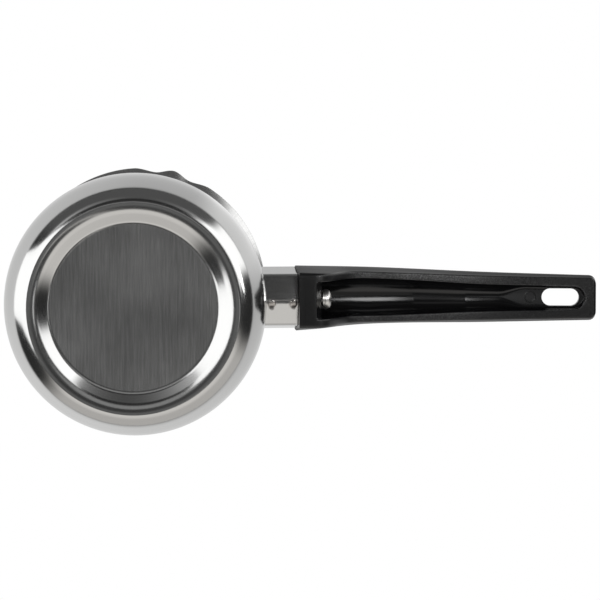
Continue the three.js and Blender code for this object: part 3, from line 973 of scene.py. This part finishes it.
def handle_at(sizes, along):
    """The handle's half widths and heights at a distance from its front face."""
    rows = (sizes.widths, sizes.foot_widths, sizes.shoulders, sizes.crowns)
    width, foot_width, shoulder, crown = [through(sizes.places, row, along) for row in rows]
    foot = through(sizes.foot_places, sizes.feet, along)
    return width / 2, foot_width / 2, foot, shoulder, crown


def channel_half(sizes, along):
    """Half the width of the channel at a distance from the front face."""
    return handle_at(sizes, along)[1] - through(sizes.places, sizes.lands, along)


def channel_depth(sizes, along):
    """Depth of the channel under its roof, which runs straight between its places."""
    index = stretch(sizes.roof_places, along)
    start, stop = sizes.roof_places[index : index + 2]
    low, high = sizes.roofs[index : index + 2]
    return low + (high - low) * (along - start) / (stop - start) - handle_at(sizes, along)[2]


def arc(middle, radius, start, end, steps):
    """Points (across, up) on a round edge, from one angle in degrees to another."""
    turns = [math.radians(start + (end - start) * part) for part in shares(steps)]
    return [(middle[0] + radius * math.cos(turn), middle[1] + radius * math.sin(turn)) for turn in turns]


def channel_line(sizes, half, foot, depth, edge, flat):
    """Half of the channel, from the top of its roof down its wall, as places (across, up)."""
    if depth == 0:
        return [(half * part, foot) for part in shares(ROOF_STEPS + CHANNEL_WALL_STEPS + 1)[:-1]]
    aside = half - flat
    inner = max(depth - edge, TOUCHING)
    radius = min(sizes.roof_round, aside, ROOF_FIT * (aside * aside + inner * inner) / (2 * inner))
    middle = foot + depth - radius
    fall = middle - foot - edge
    turn = math.atan2(aside, fall) + math.acos(radius / math.hypot(aside, fall))
    line = [(0, foot + depth)]
    for part in shares(ROOF_STEPS):
        now = math.pi + (min(turn, math.pi) - math.pi) * part
        line.append((flat + radius * math.sin(now), middle - radius * math.cos(now)))
    across, up = line[-1]
    for part in shares(CHANNEL_WALL_STEPS)[1:-1]:
        line.append((across + (half - across) * part, up + (foot + edge - up) * part))
    return line


def handle_ring(sizes, along, drawn_in, inner_half, depth, edge, flat=0):
    """A section of the handle: the channel's roof, its wall, the land, the side and the crown."""
    half, foot_half, foot, shoulder, crown = handle_at(sizes, along)
    lift = sizes.tail_edge_share * drawn_in
    foot += lift
    crown -= lift
    half -= drawn_in
    foot_half -= drawn_in
    line = channel_line(sizes, inner_half, foot, depth, edge, flat)
    line += arc((inner_half + edge, foot + edge), edge, 180, 270, EDGE_STEPS)
    foot_edge = through(sizes.places, sizes.foot_edges, along)
    land = foot_half - foot_edge
    for part in shares(LAND_STEPS)[1:-1]:
        line.append((inner_half + edge + (land - inner_half - edge) * part, foot))
    line += arc((land, foot + foot_edge), foot_edge, -90, 0, FOOT_EDGE_STEPS)
    low = at(foot_half, foot + foot_edge)
    high = at(half, shoulder)
    swell = high - at(0, (shoulder - foot) * SIDE_FULLNESS)
    side = interpolate_bezier(low, low.lerp(high, SIDE_FULLNESS), swell, high, SIDE_STEPS)
    line += [(place.x, place.z) for place in side[1:-1]]
    for turn in quarter_turns(CROWN_STEPS):
        line.append((half * math.cos(turn), shoulder + (crown - shoulder) * math.sin(turn)))
    mirrored = [(-across, up) for across, up in reversed(line[1:-1])]
    return [Vector((along, across, up)) for across, up in line + mirrored]


def plain_ring(sizes, along, drawn_in=0):
    """A section where the handle has no channel."""
    return handle_ring(sizes, along, drawn_in, channel_half(sizes, along) * PLAIN_SHARE, 0, 0)


def front_rings(sizes):
    """The rounded edge of the front face, and the block in front of the channel."""
    edge = sizes.front_edge
    rings = []
    for turn in quarter_turns(EDGE_STEPS):
        rings.append(plain_ring(sizes, edge * (1 - math.cos(turn)), edge * (1 - math.sin(turn))))
    for part in shares(MOUTH_STEPS)[1:-1]:
        rings.append(plain_ring(sizes, edge + (sizes.mouth - edge) * part))
    return rings


def mouth_rings(sizes):
    """The rounded mouth of the channel, and the slope from it to the screw's seat."""
    edge = sizes.channel_edge
    corner = sizes.mouth_corner
    start = sizes.mouth + edge
    places = []
    for turn in quarter_turns(MOUTH_STEPS):
        places.append((sizes.mouth + edge * math.sin(turn), edge * (1 - math.cos(turn))))
    for part in shares(MOUTH_STEPS)[1:]:
        places.append((start + (sizes.seat_wall - start) * part, edge + sizes.mouth_rise * part))
    rings = []
    for along, rise in places:
        narrow = corner * (1 - smoothstep(along, sizes.mouth - corner, sizes.mouth + corner))
        half = channel_half(sizes, along) - narrow
        rings.append(handle_ring(sizes, along, 0, half, rise, min(rise, edge), sizes.mouth_flat * half))
    return rings


def slot_end(sizes):
    """Distance of the middle of the slot's far round end from the front face."""
    return sizes.places[-1] - sizes.slot_to_end - sizes.slot_width / 2


def channel_rings(sizes):
    """The channel from the screw's seat to its round end about the hanging slot."""
    edge = sizes.channel_edge
    start = sizes.seat_wall + SEAT_STEP
    far = slot_end(sizes) + sizes.channel_past
    alongs = [start + (far - start) * part for part in shares(CHANNEL_STEPS)]
    for place in list(sizes.roof_places)[1:-1]:
        alongs += [place + KINK_STEP * steps for steps in (-2, -1, 1, 2)]
    places = [(along, channel_half(sizes, along)) for along in sorted(alongs)]
    radius = places[-1][1]
    for part in shares(END_STEPS)[1:]:
        turn = part * END_TURN
        places.append((far + radius * math.sin(turn), radius * math.cos(turn)))
    rings = []
    for along, half in places:
        flat = sizes.roof_flat * half * smoothstep(along, *sizes.flat_places)
        rings.append(handle_ring(sizes, along, 0, half, channel_depth(sizes, along), edge, flat))
    rings.append(handle_ring(sizes, far + radius + edge * END_SHARE, 0, END_POINT, 0, 0))
    return rings


def tail_rings(sizes):
    """The land past the channel, and the tail's rounded end."""
    corner = sizes.tail_corner
    end = sizes.places[-1]
    far = slot_end(sizes) + sizes.channel_past
    start = far + channel_half(sizes, far) + sizes.channel_edge
    rings = [plain_ring(sizes, start + (end - corner - start) * part) for part in shares(LAND_STEPS)[1:-1]]
    for turn in quarter_turns(TAIL_STEPS):
        rings.append(plain_ring(sizes, end - corner * (1 - math.sin(turn)), corner * (1 - math.cos(turn))))
    return rings


def add_handle(sizes, frame_of):
    """The moulding, lofted from its front face to the end of its tail."""
    rings = front_rings(sizes) + mouth_rings(sizes) + channel_rings(sizes) + tail_rings(sizes)
    return add_object("moulded_handle", tube(rings), frame_of)


def add_spigot(sizes, ferrule, frame_of):
    """The tongue that enters the ferrule."""
    section = rounded(ferrule_corners(ferrule, ferrule.sheet + SEAT_GAP), SPIGOT_STEPS)
    ends = (-sizes.spigot, SPIGOT_ROOT)
    rings = [[place + Vector((along, 0, 0)) for place in section] for along in ends]
    return add_object("spigot", tube(rings), frame_of)


def add_bore(sizes, screw, frame_of):
    """The hole for the screw, as a rod to cut it with."""
    bm = bmesh.new()
    bmesh.ops.create_cone(
        bm,
        cap_ends=True,
        segments=TURNED_STEPS,
        radius1=screw.bore_radius,
        radius2=screw.bore_radius,
        depth=2 * (sizes.spigot + sizes.seat_wall),
        matrix=Matrix.Rotation(QUARTER_TURN, 4, "Y"),
    )
    return add_object("bore", bm, frame_of)


def add_slot(sizes, frame_of):
    """The upright hanging slot, as a round-ended bar to cut it with."""
    along = slot_end(sizes)
    _, _, foot, _, crown = handle_at(sizes, along)
    half = (sizes.slot_length - sizes.slot_width) / 2
    centre = frame_of @ Vector((along, 0, (foot + crown) / 2)) - Vector((half, 0, 0))
    rings = []
    for height in (-SLOT_REACH, SLOT_REACH):
        ring = []
        for step in range(TURNED_STEPS):
            turn = FULL_TURN * (step + 0.5) / TURNED_STEPS
            aside = math.copysign(half, math.cos(turn))
            round_part = Vector((math.cos(turn), math.sin(turn), 0)) * sizes.slot_width / 2
            ring.append(centre + round_part + Vector((aside, 0, height)))
        rings.append(ring)
    return add_object("hanging_slot", tube(rings))


def paint_handle(handle, sizes, frame_of):
    """Mark the land on the underside and the outer sides, which are less glossy than the channel."""
    into = frame_of.inverted()

    def measure(place):
        """Distances outwards and upwards from the edge of the underside."""
        local = into @ place
        along = min(max(local.x, 0), sizes.places[-1])
        _, foot_half, foot, _, _ = handle_at(sizes, along)
        return abs(local.y) - foot_half, local.z - foot

    def land(place):
        """1 on the land, and 0 from just above it."""
        return 1 - smoothstep(measure(place)[1], *LAND_RISE)

    def side(place):
        """1 on the outer sides, from just above the underside."""
        aside, rise = measure(place)
        return smoothstep(aside, *SIDE_ASIDE) * smoothstep(rise, *SIDE_RISE)

    for name, value_at in (("land", land), ("side", side)):
        attribute = handle.data.attributes.new(name, "FLOAT", "POINT")
        attribute.data.foreach_set("value", [value_at(vert.co) for vert in handle.data.vertices])


def add_screw(sizes, frame_of):
    """The slotted screw, turned about its axis."""
    end = sizes.head_face + sizes.head_height
    shoulder = end - sizes.head_dome
    dome = interpolate_bezier(
        at(sizes.head_radius, shoulder),
        at(sizes.head_radius, shoulder + sizes.head_dome * HEAD_FULLNESS),
        at(sizes.head_radius * HEAD_FULLNESS, end),
        at(0, end),
        HEAD_STEPS,
    )
    profile = [
        at(0, -sizes.tip),
        at(sizes.radius - sizes.point, -sizes.tip),
        at(sizes.radius, sizes.point - sizes.tip),
        at(sizes.radius, sizes.head_face),
        at(sizes.head_radius, sizes.head_face),
        *dome,
    ]
    screw = add_object("slotted_screw", turned(profile), frame_of)
    bm = bmesh.new()
    size = (3 * sizes.head_radius, sizes.drive_width, 2 * sizes.drive_depth, 1)
    bmesh.ops.create_cube(bm, size=1, matrix=Matrix.Translation((0, 0, end)) @ Matrix.Diagonal(size))
    combine(screw, add_object("driving_slot", bm, frame_of), "DIFFERENCE")
    return screw


def add_washer(sizes, frame_of):
    """The split washer, wound with a slight rise between its ends."""
    low = sizes.washer_face
    high = low + sizes.washer_thickness - WASHER_LIFT
    inner = sizes.bore_radius
    outer = sizes.washer_radius
    profile = [at(inner, low), at(outer, low), at(outer, high), at(inner, high), at(inner, low)]
    bm = turned(profile, WASHER_STEPS, sizes.washer_turn, WASHER_LIFT)
    close_ends(bm)
    return add_object("split_washer", bm, frame_of @ Matrix.Rotation(WASHER_START, 4, "Z"))


def place_camera(scene, settings):
    """The camera under the pot, tilted a little, with the handle to its right."""
    camera = bpy.data.objects.new("camera", bpy.data.cameras.new("camera"))
    scene.collection.objects.link(camera)
    tilt = settings.view_tilt
    looks = Vector((0, math.sin(tilt), math.cos(tilt)))
    up = Vector((0, -math.cos(tilt), math.sin(tilt)))
    axes = Matrix((Vector((1, 0, 0)), up, -looks)).transposed().to_4x4()
    centre = Vector((*settings.view_centre, 0))
    camera.matrix_world = Matrix.Translation(centre - looks * settings.view_distance) @ axes
    camera.data.angle = 2 * math.atan(settings.view_across / 2 / settings.view_distance)
    scene.camera = camera


def lay_floor():
    """A round floor just below the pot, which neither lights nor shades it."""
    bm = bmesh.new()
    bmesh.ops.create_circle(bm, cap_ends=True, radius=FLOOR_RADIUS, segments=FLOOR_STEPS)
    floor = add_object("floor", bm, Matrix.Translation((0, 0, -FLOOR_DROP)))
    floor.data.materials.append(floor_material())
    floor.visible_diffuse = False
    floor.visible_glossy = False
    floor.visible_shadow = False


def hang_lamp(scene, settings):
    """The soft lamp above, which no reflection shows."""
    lamp = bpy.data.lights.new("key", "AREA")
    lamp.shape = "SQUARE"
    lamp.size = LAMP_SIZE
    lamp.energy = settings.key_power
    key = bpy.data.objects.new("key", lamp)
    key.location = LAMP_PLACE
    key.rotation_euler = Vector(LAMP_AIM).to_track_quat("-Z", "Y").to_euler()
    key.visible_glossy = False
    scene.collection.objects.link(key)


def left_corners():
    """The corners of the large panel on the left, down one side and up the other."""
    way = Vector((math.cos(LEFT_AZIMUTH), -math.sin(LEFT_AZIMUTH), 0))
    across = Vector((way.y, -way.x, 0))
    middle = way * LEFT_DISTANCE
    near = [middle + across * half + Vector((0, 0, height)) for half, height in LEFT_HALVES]
    far = [middle - across * half + Vector((0, 0, height)) for half, height in reversed(LEFT_HALVES)]
    return near + far


def add_panel(name, corners, strength):
    """A flat glowing panel that only reflections show."""
    bm = bmesh.new()
    verts = [bm.verts.new(Vector(corner) * MM) for corner in corners]
    bmesh.ops.contextual_create(bm, geom=verts)
    panel = add_object(name, bm)
    panel.data.materials.append(glow_material(strength))
    panel.visible_camera = False
    panel.visible_diffuse = False
    panel.visible_shadow = False


def studio_colour(shade, softboxes):
    """The studio that reflections show: a pale sky, a dim ground, a warm wall and two panels."""
    x, y, z = shade.node("ShaderNodeTexCoord", out="Generated").parts()
    azimuth = shade.math("ARCTAN2", 0 - y, x) * (180 / math.pi)
    deep = (0 - z).at_least(0) ** 3

    def away(middle):
        """Degrees between a direction and an azimuth."""
        return shade.math("ABSOLUTE", shade.math("WRAP", azimuth - middle, 180, -180))

    def panel(middle, half, spread, soft, low, high):
        """A panel round an azimuth, wider towards the ground by its spread."""
        aside = away(middle) - deep * spread
        return (1 - aside.step(half - soft, half + soft)) * z.band(low, high, PANEL_EDGE)

    # The sky is lighter on the left, at the front, in one patch on the right and overhead
    level = SKY_LEVEL + SKY_LEFT * (0 - x).at_least(0)
    level = level + SKY_FRONT * y.at_least(0) * z.step(*SKY_FRONT_EDGE)
    level = level + SKY_PATCH * (1 - away(SKY_PATCH_AZIMUTH).step(*SKY_PATCH_EDGE))
    level = level + SKY_TOP * z.step(*SKY_TOP_EDGE)
    sky = (z - SKY_LEAN * (0 - y).at_least(0)).step(*SKY_EDGE) * level

    # The ground is lighter towards the front, right under the pot
    start, front, left = GROUND_SLANT
    least, most = GROUND_RANGE
    slant = shade.math("MINIMUM", (start + front * y - left * x).at_least(least), most)
    slant = slant * (1 - z.step(*GROUND_MIDDLE))
    ground = (1 - z.step(*GROUND_EDGE)) * (GROUND_LEVEL + slant)

    # The wall dims upwards, and shines once more in a narrow gleam from below
    gleam = x.band(*GLEAM_ACROSS) * y.band(*GLEAM_ALONG) * (1 - z.step(*GLEAM_EDGE))
    wall = panel(*WALL_PANEL) * (WALL_LEVEL - WALL_DIMMING * z.step(*WALL_EDGE)) + gleam * GLEAM_LEVEL

    # The panel at the back is dark in its middle and lighter at its lower corners
    dip = away(BACK_MIDDLE) / BACK_REACH
    back = panel(*BACK_PANEL) * (BACK_LEVEL + BACK_CORNERS * dip * dip * (1 - z.step(*BACK_EDGE)))

    grey = DIM_LEVEL + sky + ground + back + panel(*RIGHT_PANEL) * softboxes
    colours = {name: grey + wall * tint for name, tint in WALL_TINT.items()}
    return shade.node("ShaderNodeCombineColor", None, colours)


def paint_world(scene, settings):
    """White to the camera, a plain level for soft light, and a painted studio in reflections."""
    world = bpy.data.worlds.new("studio")
    world.use_nodes = True
    world.node_tree.nodes.clear()
    scene.world = world
    shade = Shade(world.node_tree)
    path = shade.node("ShaderNodeLightPath")
    mirrored = shade.math("MAXIMUM", path.out("Is Glossy Ray"), path.out("Is Transmission Ray"))
    lit = shade.mix(mirrored, rgba((settings.ambient,) * 3), studio_colour(shade, settings.softboxes))
    seen = shade.mix(path.out("Is Camera Ray"), lit, rgba((1, 1, 1)))
    background = shade.node("ShaderNodeBackground", None, {"Color": seen, "Strength": 1})
    shade.node("ShaderNodeOutputWorld", None, {"Surface": background})


class CEZVE_OT_pot(bpy.types.Operator):
    """Build the drawn pot with its pressed lip"""

    bl_idname = "cezve.make_pot"
    bl_label = "Make pot"

    def execute(self, context):
        """Turn the outline, press the lip and give the shell its wall."""
        sizes = context.scene.cezve_pot
        finishes = context.scene.cezve_finishes
        bm = turned(pot_outline(sizes), POT_STEPS)
        face_outwards(bm, Vector((0, 0, -1)))
        press_lip(bm, sizes)
        pot = add_object("pot", bm)
        materials = [polished_steel(finishes), brushed_inside(finishes)]
        finish_piece(pot, "pot_body", materials)
        add_wall(pot, sizes.wall).material_offset = 1
        add_bevel(pot, RIM_EDGE, 3)
        return {"FINISHED"}


class CEZVE_OT_ferrule(bpy.types.Operator):
    """Build the folded ferrule with its weld tacks"""

    bl_idname = "cezve.make_ferrule"
    bl_label = "Make ferrule"

    def execute(self, context):
        """Fold the sleeve, give it its thickness and lay the tacks on its seam."""
        sizes = context.scene.cezve_ferrule
        frame_of = axis_frame(sizes)
        places, _ = ferrule_tacks(sizes)
        steel = sheet_steel(context.scene.cezve_finishes, [frame_of @ place for place in places])
        sleeve = add_ferrule(context.scene.cezve_pot, sizes)
        finish_piece(sleeve, "ferrule", [steel])
        add_wall(sleeve, sizes.sheet)
        add_bevel(sleeve, SHEET_EDGE, 3)
        flat = sleeve.modifiers.new("flats", "WEIGHTED_NORMAL")
        flat.keep_sharp = True
        finish_piece(add_tacks(sizes), "ferrule", [steel])
        return {"FINISHED"}


class CEZVE_OT_handle(bpy.types.Operator):
    """Build the moulded handle"""

    bl_idname = "cezve.make_handle"
    bl_label = "Make handle"

    def execute(self, context):
        """Loft the handle with its channel, then join the spigot and cut the bore and the slot."""
        sizes = context.scene.cezve_handle
        ferrule = context.scene.cezve_ferrule
        frame_of = axis_frame(ferrule)
        handle = add_handle(sizes, frame_of)
        combine(handle, add_spigot(sizes, ferrule, frame_of), "UNION")
        combine(handle, add_bore(sizes, context.scene.cezve_screw, frame_of), "DIFFERENCE")
        combine(handle, add_slot(sizes, frame_of), "DIFFERENCE")
        paint_handle(handle, sizes, frame_of)
        mark = frame_of @ Vector((sizes.mark_place, 0, 0))
        material = black_moulding(context.scene.cezve_finishes, mark, sizes.mark_radius)
        finish_piece(handle, "handle", [material])
        return {"FINISHED"}


class CEZVE_OT_fixings(bpy.types.Operator):
    """Build the screw and its washer, and plate the hidden plate"""

    bl_idname = "cezve.make_fixings"
    bl_label = "Make fixings"

    def execute(self, context):
        """Turn the screw, cut its driving slot, and wind the split washer."""
        sizes = context.scene.cezve_screw
        plating = plated_steel(context.scene.cezve_finishes)
        frame_of = axis_frame(context.scene.cezve_ferrule) @ Matrix.Rotation(QUARTER_TURN, 4, "Y")
        screw = add_screw(sizes, frame_of)
        finish_piece(screw, "handle_screw", [plating])
        add_bevel(screw, SCREW_EDGE)
        washer = add_washer(sizes, frame_of)
        finish_piece(washer, "lock_washer", [plating])
        add_bevel(washer, WASHER_EDGE)
        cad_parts["tapped_plate"].material_slots[0].material = plating
        return {"FINISHED"}


class CEZVE_OT_stage(bpy.types.Operator):
    """Set up the camera, the floor and the studio"""

    bl_idname = "cezve.make_stage"
    bl_label = "Make stage"

    def execute(self, context):
        """Place the camera under the pot, lay a floor that only shows from above, and paint the studio."""
        scene = context.scene
        settings = scene.cezve_stage
        place_camera(scene, settings)
        lay_floor()
        hang_lamp(scene, settings)
        add_panel("left_softbox", left_corners(), settings.softboxes)
        add_panel("strip_light", STRIP_LIGHT, settings.strip_light)
        add_panel("tail_card", TAIL_CARD, settings.tail_card)
        add_panel("grey_card", GREY_CARD, settings.grey_card)
        paint_world(scene, settings)
        scene.view_settings.view_transform = "Standard"
        return {"FINISHED"}


class CEZVE_PT_panel(bpy.types.Panel):
    """Buttons and sizes of the cezve"""

    bl_idname = "CEZVE_PT_panel"
    bl_label = "Cezve"
    bl_space_type = "VIEW_3D"
    bl_region_type = "UI"
    bl_category = "Cezve"

    def draw(self, context):
        """List each group of sizes under its button."""
        rows = [
            ("cezve.make_pot", context.scene.cezve_pot),
            ("cezve.make_ferrule", context.scene.cezve_ferrule),
            ("cezve.make_handle", context.scene.cezve_handle),
            ("cezve.make_fixings", context.scene.cezve_screw),
            ("cezve.make_stage", context.scene.cezve_stage),
        ]
        for operator, group in rows:
            self.layout.operator(operator)
            for name in group.__annotations__:
                self.layout.prop(group, name)
        for name in Finishes.__annotations__:
            self.layout.prop(context.scene.cezve_finishes, name)


GROUPS = {
    "cezve_pot": PotSizes,
    "cezve_ferrule": FerruleSizes,
    "cezve_handle": HandleSizes,
    "cezve_screw": ScrewSizes,
    "cezve_finishes": Finishes,
    "cezve_stage": StageSettings,
}
CLASSES = [
    *GROUPS.values(),
    CEZVE_OT_pot,
    CEZVE_OT_ferrule,
    CEZVE_OT_handle,
    CEZVE_OT_fixings,
    CEZVE_OT_stage,
    CEZVE_PT_panel,
]


def register():
    """Add the classes and the scene's groups of sizes."""
    for entry in CLASSES:
        bpy.utils.register_class(entry)
    for name, group in GROUPS.items():
        setattr(bpy.types.Scene, name, PointerProperty(type=group))


def unregister():
    """Take the groups and the classes away again."""
    for name in GROUPS:
        delattr(bpy.types.Scene, name)
    for entry in reversed(CLASSES):
        bpy.utils.unregister_class(entry)


def main():
    """Build the whole scene."""
    register()
    bpy.ops.cezve.make_pot()
    bpy.ops.cezve.make_ferrule()
    bpy.ops.cezve.make_handle()
    bpy.ops.cezve.make_fixings()
    bpy.ops.cezve.make_stage()


if __name__ == "__main__":
    main()
